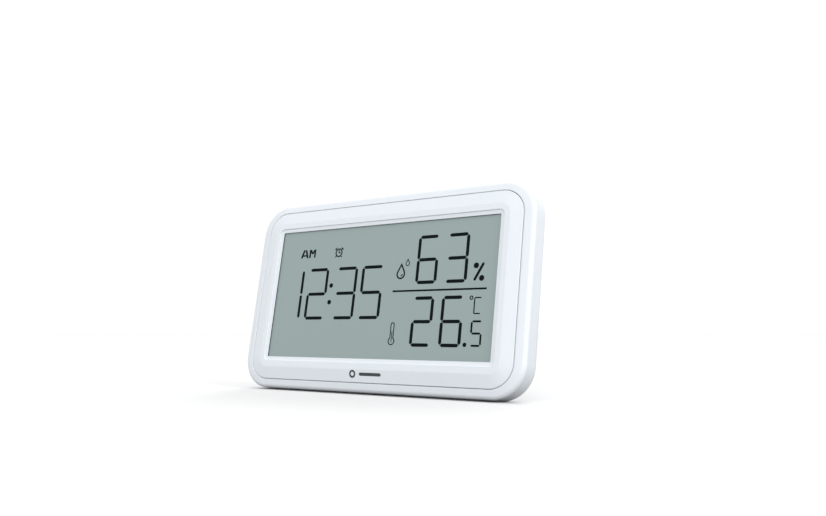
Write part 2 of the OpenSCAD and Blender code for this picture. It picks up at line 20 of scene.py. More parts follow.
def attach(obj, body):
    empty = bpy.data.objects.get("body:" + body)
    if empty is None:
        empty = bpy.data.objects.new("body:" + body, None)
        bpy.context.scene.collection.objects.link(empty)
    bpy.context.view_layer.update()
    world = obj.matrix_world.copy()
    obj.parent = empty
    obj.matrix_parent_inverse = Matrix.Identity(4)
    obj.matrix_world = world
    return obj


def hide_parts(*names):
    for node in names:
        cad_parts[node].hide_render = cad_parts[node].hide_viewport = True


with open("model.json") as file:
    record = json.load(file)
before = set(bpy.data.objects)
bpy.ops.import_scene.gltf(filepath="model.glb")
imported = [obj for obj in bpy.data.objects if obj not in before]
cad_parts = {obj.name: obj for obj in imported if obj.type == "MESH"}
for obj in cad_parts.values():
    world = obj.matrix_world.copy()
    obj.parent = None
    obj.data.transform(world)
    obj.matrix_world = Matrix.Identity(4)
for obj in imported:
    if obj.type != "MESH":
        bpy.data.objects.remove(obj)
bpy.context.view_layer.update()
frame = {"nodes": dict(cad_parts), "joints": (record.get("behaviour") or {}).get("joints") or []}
LOG = logging.getLogger("desk_clock")

MM = 0.001
Points = np.ndarray
Faces = list[list[int]]


# ---------------------------------------------------------------------------------------------
# Where the case is
# ---------------------------------------------------------------------------------------------


def joint(name: str) -> dict:
    """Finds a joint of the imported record.

    Args:
        name: the joint's name.

    Returns:
        The joint's own entry, with its axis and place in the row frame.
    """
    return next(j for j in frame["joints"] if j["name"] == name)


@dataclass(frozen=True)
class CaseFrame:
    """The upright case's own frame: X right, Y into the depth, Z up, in millimetres.

    Its origin is the middle of the case's bottom front edge. The lean comes from the joints: a
    button is pressed towards the front, and the battery door slides up along the back.
    """

    pivot_depth: float = 12.7
    pivot_height: float = 34.0

    def matrix(self) -> Matrix:
        """Works out the way from the case's frame to the row frame.

        Returns:
            A 4 by 4 matrix that turns, scales from millimetres to metres and moves.
        """
        back = -Vector(joint("mode_press")["axis"]).normalized()
        up = Vector(joint("battery_door_slide")["axis"]).normalized()
        right = back.cross(up)
        pivot = Vector(joint("kickstand_hinge")["pos_m"])
        origin = pivot - MM * (self.pivot_depth * back + self.pivot_height * up)
        turn = Matrix((right, back, up)).transposed().to_4x4()
        return Matrix.Translation(origin) @ turn @ Matrix.Scale(MM, 4)


CASE = CaseFrame().matrix()


# ---------------------------------------------------------------------------------------------
# Outlines and profiles
# ---------------------------------------------------------------------------------------------


def arc(centre: Sequence[float], radius: float, start: float, stop: float, steps: int) -> Points:
    """Points along an arc: centre + radius * (cos a, sin a), for a from start to stop.

    Args:
        centre: the arc's centre, two numbers.
        radius: its radius.
        start: the first angle in degrees.
        stop: the last angle in degrees.
        steps: how many stretches it is cut into.

    Returns:
        steps + 1 points, as rows of two.
    """
    a = np.radians(np.linspace(start, stop, steps + 1))
    return np.stack([centre[0] + radius * np.cos(a), centre[1] + radius * np.sin(a)], axis=1)


def path(*parts: Sequence) -> Points:
    """Joins points and arcs to one line, in order.

    Args:
        parts: single points or arrays of points.

    Returns:
        All the points as rows of two.
    """
    return np.concatenate([np.atleast_2d(np.asarray(p, float)) for p in parts])


@dataclass(frozen=True)
class RoundRect:
    """A rectangle with round corners in the plane of the case's face."""

    half_w: float
    half_h: float
    radius: float
    mid_x: float = 0.0
    mid_z: float = 0.0
    steps: int = 16

    def ring(self, inset: float, depth: float) -> Points:
        """The outline drawn in by an inset, at one depth.

        Each corner is an arc about a centre that stays where it is, so outlines with different
        insets are parallel.

        Args:
            inset: how far the outline is drawn in.
            depth: its depth behind the front face.

        Returns:
            Points as rows of x, depth, z, anticlockwise seen from the front.
        """
        r = max(self.radius - inset, 1e-4)
        shrink = inset - (self.radius - r)
        a = np.radians(np.linspace(0, 90, self.steps + 1))
        a = (a[None, :] + np.radians([0, 90, 180, 270])[:, None]).ravel()
        sx = np.repeat([1, -1, -1, 1], self.steps + 1)
        sz = np.repeat([1, 1, -1, -1], self.steps + 1)
        x = self.mid_x + sx * (self.half_w - self.radius - shrink) + r * np.cos(a)
        z = self.mid_z + sz * (self.half_h - self.radius - shrink) + r * np.sin(a)
        return np.stack([x, np.full_like(x, depth), z], axis=1)


@dataclass(frozen=True)
class Disc:
    """A circle in the plane of the case's face."""

    radius: float
    mid_x: float = 0.0
    mid_z: float = 0.0
    steps: int = 40

    def ring(self, inset: float, depth: float) -> Points:
        """The circle drawn in by an inset, at one depth.

        Args:
            inset: how far the outline is drawn in.
            depth: its depth behind the front face.

        Returns:
            Points as rows of x, depth, z.
        """
        a = np.linspace(0, 2 * np.pi, self.steps, endpoint=False)
        r = max(self.radius - inset, 1e-4)
        return np.stack(
            [self.mid_x + r * np.cos(a), np.full_like(a, depth), self.mid_z + r * np.sin(a)], axis=1
        )


@dataclass(frozen=True)
class Keyhole:
    """A round entry with a narrower slot above it, as a wall screw needs."""

    entry_r: float
    slot_r: float
    rise: float
    mid_z: float
    steps: int = 24

    def ring(self, inset: float, depth: float) -> Points:
        """The outline drawn in by an inset, at one depth.

        Args:
            inset: how far the outline is drawn in.
            depth: its depth behind the front face.

        Returns:
            Points as rows of x, depth, z.
        """
        big, small = self.entry_r - inset, self.slot_r - inset
        lean = math.degrees(math.asin(small / big))
        line = path(
            arc((0, self.mid_z), big, 90 + lean, 450 - lean, 2 * self.steps),
            arc((0, self.mid_z + self.rise), small, 0, 180, self.steps),
        )
        return np.insert(line, 1, depth, axis=1)


# ---------------------------------------------------------------------------------------------
# Surfaces
# ---------------------------------------------------------------------------------------------


class Boolean(Enum):
    """Ways to combine two solids."""

    CUT = "DIFFERENCE"
    JOIN = "UNION"
    KEEP = "INTERSECT"


def grid_faces(rows: int, columns: int, wrap_rows: bool, wrap_columns: bool) -> Points:
    """Quads of a grid whose points are numbered row by row.

    Args:
        rows: number of rows of points.
        columns: number of points in a row.
        wrap_rows: whether the last row joins the first.
        wrap_columns: whether each row is closed.

    Returns:
        One row of four point numbers for each quad.
    """
    i = np.arange(rows if wrap_rows else rows - 1)[:, None]
    j = np.arange(columns if wrap_columns else columns - 1)[None, :]
    i2, j2 = (i + 1) % rows, (j + 1) % columns
    quad = [i * columns + j, i * columns + j2, i2 * columns + j2, i2 * columns + j]
    return np.stack(np.broadcast_arrays(*quad), axis=-1).reshape(-1, 4)


class Solid:
    """A closed mesh in the case's upright frame, in millimetres, that can be cut and joined."""

    def __init__(self, name: str, points: Points, faces: Iterable[Sequence[int]]) -> None:
        """Makes the mesh, merges its doubles and turns its faces outwards.

        Args:
            name: the solid's name.
            points: its corners, as rows of x, depth, z.
            faces: the numbers of each face's corners.
        """
        mesh = bpy.data.meshes.new(name)
        mesh.from_pydata(points.tolist(), [], [list(f) for f in faces])
        self.obj = bpy.data.objects.new(name, mesh)
        bpy.context.scene.collection.objects.link(self.obj)
        self._tidy()

    def _tidy(self) -> None:
        """Merges points that coincide and points every face outwards."""
        work = bmesh.new()
        work.from_mesh(self.obj.data)
        bmesh.ops.remove_doubles(work, verts=work.verts, dist=1e-4)
        bmesh.ops.recalc_face_normals(work, faces=work.faces)
        work.to_mesh(self.obj.data)
        work.free()

    def combine(self, others: Sequence["Solid"], how: Boolean) -> "Solid":
        """Cuts, joins or keeps what is common with other solids, which are used up.

        Args:
            others: the solids to combine with, one after another.
            how: what to do with them.

        Returns:
            This solid, changed.
        """
        for other in others:
            step = self.obj.modifiers.new("step", "BOOLEAN")
            step.operation = how.value
            step.solver = "MANIFOLD"
            step.object = other.obj
            evaluated = self.obj.evaluated_get(bpy.context.evaluated_depsgraph_get())
            mesh = bpy.data.meshes.new_from_object(evaluated)
            self.obj.modifiers.clear()
            self.obj.data = mesh
            bpy.data.objects.remove(other.obj)
        return self

    def finish(
        self, body: str, finish: "Finish", nodes: Sequence[str], sharp: float = 32
    ) -> bpy.types.Object:
        """Args:
            body: the CAD body that it rides on.
            finish: the finish that it is dressed in.
            nodes: the CAD nodes that it stands for.
            sharp: the angle in degrees above which an edge stays crisp.

        Returns:
            The finished object.
        """
        mesh = self.obj.data
        mesh.transform(CASE)
        mesh.shade_smooth()
        mesh.set_sharp_from_angle(angle=math.radians(sharp))
        mesh.materials.clear()
        mesh.materials.append(finish.material())
        weighted = self.obj.modifiers.new("even_faces", "WEIGHTED_NORMAL")
        weighted.keep_sharp = True
        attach(self.obj, body)
        if nodes:
            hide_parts(*nodes)
        LOG.info("%s: %d faces on %s", self.obj.name, len(mesh.polygons), body)
        return self.obj


def loft(name: str, rings: Sequence[Points], loop: bool = False) -> Solid:
    """A closed surface through a row of outlines that all have the same number of points.

    Point j of ring i is joined to point j of ring i + 1. The first and last ring are closed by a
    flat face each, or joined to each other.

    Args:
        name: the solid's name.
        rings: outlines in order.
        loop: whether the last ring joins the first.

    Returns:
        The closed solid.
    """
    stack = np.stack(rings)
    rows, columns = stack.shape[:2]
    faces: Faces = grid_faces(rows, columns, loop, True).tolist()
    if not loop:
        faces.append(list(range(columns)))
        faces.append(list(range((rows - 1) * columns, rows * columns)))
    return Solid(name, stack.reshape(-1, 3), faces)


def edged(name: str, outline: RoundRect | Disc | Keyhole, profile: Points) -> Solid:
    """A solid whose edge follows a profile all the way round an outline.

    Args:
        name: the solid's name.
        outline: anything with a ring method.
        profile: rows of inset and depth, from the front to the back.

    Returns:
        The closed solid.
    """
    return loft(name, [outline.ring(inset, depth) for inset, depth in profile])


def turned(name: str, start: Points, axis: Points, profile: Points, steps: int = 40) -> Solid:
    """A solid of revolution about any axis.

    Point (i, j) is start + h_i * axis + r_i * (cos a_j * u + sin a_j * v), where u and v are at
    right angles to the axis.

    Args:
        name: the solid's name.
        start: where the axis begins.
        axis: its direction.
        profile: rows of distance along the axis and radius.
        steps: points round the circle.

    Returns:
        The closed solid.
    """
    w = np.asarray(axis, float) / np.linalg.norm(axis)
    u = np.cross(w, [0, 0, 1] if abs(w[2]) < 0.9 else [1, 0, 0])
    u /= np.linalg.norm(u)
    v = np.cross(w, u)
    a = np.linspace(0, 2 * np.pi, steps, endpoint=False)
    circle = np.cos(a)[:, None] * u + np.sin(a)[:, None] * v
    along, radius = profile[:, 0, None, None], np.maximum(profile[:, 1], 1e-4)[:, None, None]
    return loft(name, list(np.asarray(start, float) + along * w + radius * circle))


def tube(name: str, line: Points, radius: float, steps: int = 12) -> Solid:
    """A round wire along a line, with flat ends.

    Each ring lies across the line's own direction, worked out from the points next to it.

    Args:
        name: the solid's name.
        line: points along the wire's centre.
        radius: the wire's radius.
        steps: points round the wire.

    Returns:
        The closed solid.
    """
    tangent = np.gradient(line, axis=0)
    tangent /= np.linalg.norm(tangent, axis=1, keepdims=True)
    side = np.cross(tangent, [1.0, 0.0, 0.0])
    side /= np.linalg.norm(side, axis=1, keepdims=True)
    other = np.cross(tangent, side)
    a = np.linspace(0, 2 * np.pi, steps, endpoint=False)
    rings = (
        line[:, None, :]
        + radius * np.cos(a)[None, :, None] * side[:, None, :]
        + radius * np.sin(a)[None, :, None] * other[:, None, :]
    )
    return loft(name, list(rings))


def box(name: str, x: Sequence[float], y: Sequence[float], z: Sequence[float]) -> Solid:
    """A plain box for cutting and joining.

    Args:
        name: the solid's name.
        x: its range across the case.
        y: its range of depths.
        z: its range of heights.

    Returns:
        The closed solid.
    """
    outline = np.array([[x[0], 0, z[0]], [x[1], 0, z[0]], [x[1], 0, z[1]], [x[0], 0, z[1]]], float)
    return loft(name, [outline + [0, depth, 0] for depth in y])


def dished(depth_low: float, depth_high: float, lip: float, steps: int = 5) -> Points:
    """Profile of a cutter that leaves a rounded lip round a hole in the back wall.

    Args:
        depth_low: how deep the hole goes, towards the front.
        depth_high: the depth of the face that it is cut into.
        lip: radius of the rounded lip.
        steps: stretches in the lip's arc.

    Returns:
        Rows of inset and depth, from the front to past the back.
    """
    curve = arc((-lip, depth_high - lip), lip, 0, 90, steps)
    return path([0, depth_low], curve[:-1], [-lip, depth_high], [-lip, depth_high + 2])


# ---------------------------------------------------------------------------------------------
# Finishes
# ---------------------------------------------------------------------------------------------


def linear(code: str, alpha: float = 1.0) -> tuple[float, float, float, float]:
    """Turns an sRGB hex colour to the linear values that a shader takes.

    Args:
        code: six hex digits.
        alpha: the fourth value.

    Returns:
        Red, green, blue and alpha.
    """
    srgb = np.array([int(code[i : i + 2], 16) for i in (0, 2, 4)]) / 255
    value = np.where(srgb <= 0.04045, srgb / 12.92, ((srgb + 0.055) / 1.055) ** 2.4)
    return (*value.tolist(), alpha)


def add_node(
    tree: bpy.types.NodeTree, kind: str, links: Optional[dict] = None, **settings: object
) -> bpy.types.Node:
    """Adds one node with its settings and links.

    Args:
        tree: the node tree.
        kind: the node's type, without its ShaderNode prefix.
        links: input name or number to the output that feeds it.
        settings: a node property, or an input's value where the name is in_NAME or in_NUMBER.

    Returns:
        The new node.
    """
    node = tree.nodes.new("ShaderNode" + kind)
    for name, value in settings.items():
        if name.startswith("in_"):
            key = name[3:].replace("_", " ")
            node.inputs[int(key) if key.isdigit() else key].default_value = value
        else:
            setattr(node, name, value)
    for key, output in (links or {}).items():
        tree.links.new(output, node.inputs[key])
    return node


def mix_colours(
    tree: bpy.types.NodeTree,
    factor: bpy.types.NodeSocket,
    first: Sequence[float],
    second: Sequence[float],
) -> bpy.types.NodeSocket:
    """Mixes two fixed colours.

    Args:
        tree: the node tree.
        factor: the output that feeds the mix, 0 for the first colour and 1 for the second.
        first: red, green, blue and alpha.
        second: the same for the other colour.

    Returns:
        The socket that carries the mixed colour.
    """
    mixed = add_node(tree, "Mix", {"Factor": factor}, data_type="RGBA", in_6=first, in_7=second)
    return mixed.outputs[2]


@dataclass(frozen=True)
class Finish:
    """A finish with a fine random grain in its colour, gloss and surface.

    grain is the size of one grain in millimetres and relief its height in millimetres.
    """

    name: str
    slot: str
    colour: str
    shade: str
    roughness: float = 0.4
    roughness_swing: float = 0.05
    metallic: float = 0.0
    ior: float = 1.5
    grain: float = 0.3
    relief: float = 0.004
    coat: float = 0.0
    subsurface: float = 0.0
    stretch: tuple[float, float, float] = (1.0, 1.0, 1.0)

    def material(self) -> bpy.types.Material:
        """Finds the finish's material, or makes it the first time."""
        made = bpy.data.materials.get(self.name)
        return made or self._make()

    def _make(self) -> bpy.types.Material:
        """Builds the material's nodes: grain into colour, roughness and a bump.

        Returns:
            The new material.
        """
        made = bpy.data.materials.new(self.name)
        made.use_nodes = True
        tree = made.node_tree
        tree.nodes.clear()
        place = add_node(tree, "TexCoord")
        mapped = add_node(
            tree, "Mapping", {"Vector": place.outputs["Object"]}, in_Scale=self.stretch
        )
        spot = mapped.outputs["Vector"]
        colour = self.pattern(tree, spot)
        fine = add_node(
            tree, "TexNoise", {"Vector": spot}, in_Scale=1 / (self.grain * MM), in_Detail=3.0
        )
        gloss = add_node(
            tree,
            "MapRange",
            {"Value": fine.outputs[0]},
            in_3=self.roughness - self.roughness_swing,
            in_4=self.roughness + self.roughness_swing,
        )
        bump = add_node(
            tree, "Bump", {"Height": fine.outputs[0]}, in_Strength=0.6, in_Distance=self.relief * MM
        )
        shader = add_node(
            tree,
            "BsdfPrincipled",
            {"Base Color": colour, "Roughness": gloss.outputs[0], "Normal": bump.outputs[0]},
            in_Metallic=self.metallic,
            in_IOR=self.ior,
            in_Coat_Weight=self.coat,
            in_Subsurface_Weight=self.subsurface,
        )
        if self.subsurface:
            shader.inputs["Subsurface Radius"].default_value = (1.0, 0.9, 0.8)
            shader.inputs["Subsurface Scale"].default_value = 0.6 * MM
        add_node(tree, "OutputMaterial", {"Surface": shader.outputs[0]})
        return made

    def pattern(self, tree: bpy.types.NodeTree, spot: bpy.types.NodeSocket) -> bpy.types.NodeSocket:
        """Colour of the finish: a slow cloud between its two colours.

        Args:
            tree: the material's node tree.
            spot: the place on the piece.

        Returns:
            The socket that carries the colour.
        """
        cloud = add_node(
            tree, "TexNoise", {"Vector": spot}, in_Scale=1 / (8 * self.grain * MM), in_Detail=4.0
        )
        return mix_colours(tree, cloud.outputs[0], linear(self.colour), linear(self.shade))


@dataclass(frozen=True)
class BandedWrap(Finish):
    """A printed film round a cell, with a coppery end and a dark line beside it.

    middle is the cell's centre in metres along X, reach half its length, and end the side of
    its positive end.
    """

    band: str = "B98250"
    line: str = "20242A"
    line_at: float = 0.66
    band_at: float = 0.69
    middle: float = 0.0
    reach: float = 0.022
    end: float = 1.0

    def pattern(self, tree: bpy.types.NodeTree, spot: bpy.types.NodeSocket) -> bpy.types.NodeSocket:
        """Colour by the place along the cell, in constant steps of a ramp.

        Args:
            tree: the material's node tree.
            spot: the place on the piece.

        Returns:
            The socket that carries the colour.
        """
        part = add_node(tree, "SeparateXYZ", {"Vector": spot})
        along = add_node(
            tree,
            "MapRange",
            {"Value": part.outputs["X"]},
            in_1=self.middle - self.end * self.reach,
            in_2=self.middle + self.end * self.reach,
        )
        ramp = add_node(tree, "ValToRGB", {"Fac": along.outputs[0]})
        ramp.color_ramp.interpolation = "CONSTANT"
        first, last = ramp.color_ramp.elements
        first.color, last.color = linear(self.colour), linear(self.line)
        last.position = self.line_at
        ramp.color_ramp.elements.new(self.band_at).color = linear(self.band)
        return ramp.outputs["Color"]


@dataclass(frozen=True)
class SolderMask(Finish):
    """Green lacquer over copper tracks, which show as slightly lighter lines.

    pitch is the distance between neighbouring tracks in millimetres.
    """

    track: str = "2E7D4F"
    pitch: float = 1.6

    def pattern(self, tree: bpy.types.NodeTree, spot: bpy.types.NodeSocket) -> bpy.types.NodeSocket:
        """Colour from the edges of square cells, which run straight like tracks.

        Args:
            tree: the material's node tree.
            spot: the place on the piece.

        Returns:
            The socket that carries the colour.
        """
        cells = add_node(
            tree,
            "TexVoronoi",
            {"Vector": spot},
            distance="CHEBYCHEV",
            feature="F1",
            in_Scale=1 / (self.pitch * MM),
        )
        edge = add_node(
            tree, "MapRange", {"Value": cells.outputs["Distance"]}, in_1=0.30, in_2=0.36
        )
        return mix_colours(tree, edge.outputs[0], linear(self.colour), linear(self.track))


# ABS, injection moulded in a spark-eroded tool: a soft satin skin with a very fine even grain.
WHITE_ABS = Finish(
    "moulded_white_abs", "white_abs", "E8EEF3", "E4EAF0", roughness=0.36, grain=0.12, relief=0.003,
    coat=0.05, subsurface=0.05, ior=1.53,
)
# The same ABS from a coarser tool: the buttons are duller, so that fingers don't show.
BUTTON_ABS = Finish(
    "moulded_matte_abs", "button_abs", "E4E9ED", "DEE4E9", roughness=0.5, grain=0.18, relief=0.008,
    ior=1.53,
)
# Iodine polariser with an anti-glare hard coat: an even grey-green, matte, with a faint sparkle.
POLARISER = Finish(
    "anti_glare_polariser", "display_film", "99A9A8", "95A6A5", roughness=0.42,
    roughness_swing=0.06, grain=0.05, relief=0.001,
)
# Liquid crystal that is switched on: near black with a green tinge, under the same matte coat.
SEGMENTS = Finish(
    "switched_liquid_crystal", "dark_segments", "0C1415", "101819", roughness=0.6, grain=0.1,
    relief=0.001, ior=1.12,
)
# Closed-cell foam, die cut: deep black with open pores along its cut edge. Its black also serves as
# painted shade: it stands in for the shadow in the gap between the bezel's lip and the display.
BLACK_FOAM_GAP_SHADE = Finish(
    "black_foam_painted_gap_shade", "gasket_foam", "0B0C0D", "16181A", roughness=0.9, grain=0.15, relief=0.05
)
# Float glass, ground at its edges: clear, with a slight green cast.
GLASS = Finish(
    "float_glass", "display_glass", "B9CBC8", "AFC3C0", roughness=0.08, roughness_swing=0.02,
    grain=1.0, relief=0.0005, ior=1.52,
)
# Aluminised film: silver and slightly grainy, so that light spreads evenly behind the glass.
REFLECTOR = Finish(
    "aluminised_film", "reflector_film", "C9CFCE", "BDC4C3", roughness=0.35, metallic=1.0,
    grain=0.08, relief=0.002,
)
# Silicone rubber in thin stripes of carbon-filled and clear layers across the strip.
ZEBRA = Finish(
    "layered_silicone_rubber", "conductive_rubber", "3A3D40", "8A8880", roughness=0.7, grain=0.1,
    relief=0.01, stretch=(3.0, 0.1, 0.1),
)
# Paper laminate under green lacquer: glossy over the tracks, with a soft relief.
BOARD = SolderMask(
    "green_solder_mask", "circuit_board", "14532D", "14532D", roughness=0.32, grain=0.6, relief=0.01
)
# Epoxy poured over the chip: black, very smooth, domed by its own surface tension.
EPOXY = Finish(
    "poured_black_epoxy", "black_epoxy", "0A0A0B", "101012", roughness=0.12, roughness_swing=0.03,
    grain=2.0, relief=0.02,
)
# Tin on steel, rolled: a grey metal with faint lines along the sheet.
TIN = Finish(
    "rolled_tin_plate", "tin_plate", "C4C6C6", "B4B7B8", roughness=0.3, metallic=1.0, grain=0.3,
    relief=0.003, stretch=(0.2, 1.0, 1.0),
)
# Transfer-moulded resin: dull ochre with a fine tooth.
TANTALUM = Finish(
    "moulded_ochre_resin", "tantalum_resin", "C08A2E", "B27F28", roughness=0.55, grain=0.2,
    relief=0.01,
)
# White PBT sensor housing, moulded with an even dull skin.
SENSOR = Finish(
    "moulded_white_pbt", "sensor_case", "E6E7E4", "DDDEDA", roughness=0.5, grain=0.2, relief=0.006
)
# Dipped resin bead: brown, glossy, slightly uneven.
BEAD = Finish(
    "dipped_brown_resin", "sensor_resin", "5A2C14", "47220F", roughness=0.2, grain=0.8, relief=0.03
)
# Black nylon, moulded: a dull skin with a fine tooth.
NYLON = Finish(
    "moulded_black_nylon", "black_plastic", "121314", "1A1B1D", roughness=0.5, grain=0.15,
    relief=0.006,
)
# Nickel over spring steel, drawn and plated: a warm bright metal with hair-fine lines.
NICKEL = Finish(
    "bright_nickel_plate", "nickel_plate", "CFCBC2", "BFBAB0", roughness=0.22, metallic=1.0,
    grain=0.25, relief=0.002, stretch=(0.3, 1.0, 1.0),
)
# Rolled brass with a little tarnish.
BRASS = Finish(
    "rolled_brass", "brass_sheet", "C9A24E", "B58F42", roughness=0.3, metallic=1.0, grain=0.5,
    relief=0.003, stretch=(0.2, 1.0, 1.0),
)
# Fired ceramic with a silver print: dull and pale.
CERAMIC = Finish(
    "silvered_ceramic", "piezo_ceramic", "D8D4C6", "CCC8BA", roughness=0.6, grain=0.1, relief=0.004
)
# Zinc on steel, tumbled: a bluish bright metal, a little uneven.
ZINC = Finish(
    "bright_zinc_plate", "screw_steel", "BFC3C7", "A9AEB4", roughness=0.28, metallic=1.0, grain=0.4,
    relief=0.004,
)
# Pad-printed ink: a flat dark grey film, slightly duller than the plastic round it.
PAD_PRINT = Finish(
    "pad_printed_grey", "dark_segments", "3C4246", "434A4E", roughness=0.5, grain=0.1, relief=0.002
)


# ---------------------------------------------------------------------------------------------
# Shells
# ---------------------------------------------------------------------------------------------


@dataclass(frozen=True)
class CaseShape:
    """Sizes that the case's shells share, in millimetres."""

    half_w: float = 55.0
    half_h: float = 32.5
    corner: float = 10.5
    frame_depth: float = 9.8
    wall: float = 1.8
    rim_front: float = 0.75
    rim_flat: float = 2.9
    front_edge: float = 1.4
    face_slope: float = 9.69
    back_edge: float = 3.0
    seam_half: tuple[float, float] = (51.475, 29.675)
    seam_corner: float = 7.675
    housing_half_w: float = 28.0
    housing_low: float = 13.0
    housing_high: float = 39.6
    housing_depth: float = 20.0
    door_half: float = 25.0
    door_low: float = 14.5

    @property
    def outline(self) -> RoundRect:
        """The case's outline, seen from the front."""
        return RoundRect(self.half_w, self.half_h, self.corner, mid_z=self.half_h, steps=24)

    @property
    def back_inner(self) -> float:
        """Depth of the back wall's inner face."""
        return self.frame_depth - self.wall

    @property
    def housing_outline(self) -> RoundRect:
        """The battery housing's outline."""
        half_h = (self.housing_high - self.housing_low) / 2
        return RoundRect(self.housing_half_w, half_h, 4.0, mid_z=self.housing_low + half_h)

    def housing(self, name: str, root: float) -> Solid:
        """The battery housing as a solid block with a round back edge.

        Args:
            name: the solid's name.
            root: radius of the hollow fillet where it meets the back wall, or 0.

        Returns:
            The block, which starts inside the back wall.
        """
        edge = 2.0
        foot = [[0, self.back_inner + 0.3], [0, self.frame_depth]]
        if root:
            curve = arc((-root, self.frame_depth + root), root, -90, 0, 6)
            foot = path([-root, self.frame_depth - 0.3], curve)
        profile = path(foot, arc((edge, self.housing_depth - edge), edge, 180, 90, 10))
        return edged(name, self.housing_outline, profile)


SHAPE = CaseShape()


@dataclass
class Bezel:
    """The front frame: flat round the display, sloping to the seam, with a stepped recess.

    A screw's place is given as distance from the middle, lower height and upper height. A pair is
    the board screws' value, then the case screws'.
    """

    half: tuple[float, float] = (51.325, 29.525)
    corner: float = 7.525
    slope_w: float = 4.1
    seam_depth: float = 0.7
    plate_back: float = 2.0
    skirt_back: float = 4.5
    skirt_t: float = 1.5
    window_half_w: float = 44.1
    window_half_h: float = 22.1
    window_mid: float = 32.6
    recess_slope: float = 1.26
    lip_t: float = 0.6
    pocket: tuple[float, float, float] = (46.7, 25.1, 32.1)
    case_screws: tuple[float, float, float] = (48.5, 8.5, 56.5)
    board_screws: tuple[float, float, float] = (38.0, 5.9, 58.8)
    boss_r: tuple[float, float] = (1.3, 2.1)
    boss_back: tuple[float, float] = (4.6, 5.0)
    pilot_r: tuple[float, float] = (0.6, 0.85)
    pilot_front: tuple[float, float] = (1.6, 1.8)
    mark_height: float = 5.6
    mark_t: float = 0.03
    mark_proud: float = 0.003

    def outer_rings(self) -> list[Points]:
        """Rings from the skirt's back edge, round the seam edge and up the slope.

        Returns:
            The rings in order.
        """
        edge = 0.25
        outline = RoundRect(*self.half, self.corner, mid_z=SHAPE.half_h, steps=24)
        side = self.seam_depth + edge
        slope = math.degrees(math.atan(self.seam_depth / self.slope_w))
        curve = arc((edge, side), edge, 180, 270 - slope, 5)
        blend = 0.3
        profile = path(
            [0.15, self.skirt_back], [0, self.skirt_back - 0.15], [0, side + 0.2], curve,
            [self.slope_w - blend, self.seam_depth * blend / self.slope_w],
            [self.slope_w - 0.3 * blend, 0.3 * self.seam_depth * blend / self.slope_w * 0.55],
            [self.slope_w + 0.4 * blend, 0],
        )
        return [outline.ring(i, d) for i, d in profile]

    def window_rings(self) -> list[Points]:
        """Rings from the flat band over the rounded edge, down a step and a slope to the foot.

        Returns:
            The rings in order.
        """
        slope = self.recess_slope
        outline = RoundRect(
            self.window_half_w + slope, self.window_half_h + slope, slope + 0.4,
            mid_z=self.window_mid, steps=24,
        )
        lip, step = 0.16, 0.34
        profile = path(
            [-0.5, 0], [-lip - 0.05, 0], arc((-lip, lip), lip, 270, 360, 5), [0.02, step],
            [slope - 0.06, self.lip_t - 0.12], [slope, self.lip_t - 0.06], [slope, self.lip_t],
        )
        return [outline.ring(i, d) for i, d in profile]

    def back_rings(self) -> list[Points]:
        """Rings over the lip's back, the display's pocket, the plate's back and the skirt.

        Returns:
            The rings in order.
        """
        half_w, half_h, mid = self.pocket
        pocket = RoundRect(half_w, half_h, 0.6, mid_z=mid, steps=24)
        inner = RoundRect(
            self.half[0] - self.skirt_t, self.half[1] - self.skirt_t, self.corner - self.skirt_t,
            mid_z=SHAPE.half_h, steps=24,
        )
        return [
            pocket.ring(0, self.lip_t), pocket.ring(0, self.plate_back),
            inner.ring(0, self.plate_back), inner.ring(0, self.skirt_back - 0.15),
            inner.ring(-0.15, self.skirt_back),
        ]

    def places(self) -> list[tuple[float, float, int]]:
        """Places of the screws that go into the bezel.

        Returns:
            Across, height, and 0 for a board screw or 1 for a case screw.
        """
        return [
            (side * x, z, kind)
            for (x, low, high), kind, sides in (
                (self.case_screws, 1, (-1, 1)), (self.board_screws, 0, (-1, 0, 1))
            )
            for side in sides
            for z in (low, high)
            if side or z == low
        ]

    def bosses(self) -> list[Solid]:
        """Screw bosses on the back of the plate.

        Returns:
            Solids to join.
        """
        root, soften = self.plate_back - 0.6, 0.2
        made = []
        for n, (x, z, kind) in enumerate(self.places()):
            back = self.boss_back[kind]
            profile = path([0, root], [0, back - soften], [soften, back])
            made.append(edged(f"boss_{n}", Disc(self.boss_r[kind], x, z), profile))
        return made

    def pilots(self) -> list[Solid]:
        """Cutters for the screws' pilot holes.

        Returns:
            Solids to cut away.
        """
        past = self.skirt_back + 1.5
        return [
            edged(f"pilot_{n}", Disc(self.pilot_r[kind], x, z, 20),
                  path([0, self.pilot_front[kind]], [0, past]))
            for n, (x, z, kind) in enumerate(self.places())
        ]

    def build(self) -> None:
        """Builds the bezel as one closed ring and adds its bosses."""
        rings = self.outer_rings() + self.window_rings() + self.back_rings()
        shell = loft("bezel_frame", rings, loop=True)
        shell.combine(self.bosses(), Boolean.JOIN)
        shell.combine(self.pilots(), Boolean.CUT)
        shell.finish("case", WHITE_ABS, ["front_bezel"])

    def mark(self) -> None:
        """Adds a plain printed ring and bar below the display, on the sloping band."""
        height, lift, thick = self.mark_height, self.mark_proud, self.mark_t
        inset = height - (SHAPE.half_h - self.half[1])
        depth = self.seam_depth * (1 - inset / self.slope_w)
        tilt = self.seam_depth / self.slope_w

        def lay(points: Points) -> Points:
            """Shears a flat print onto the sloping band: depth falls with height."""
            points[:, 1] += depth + thick - lift - tilt * (points[:, 2] - height)
            return points

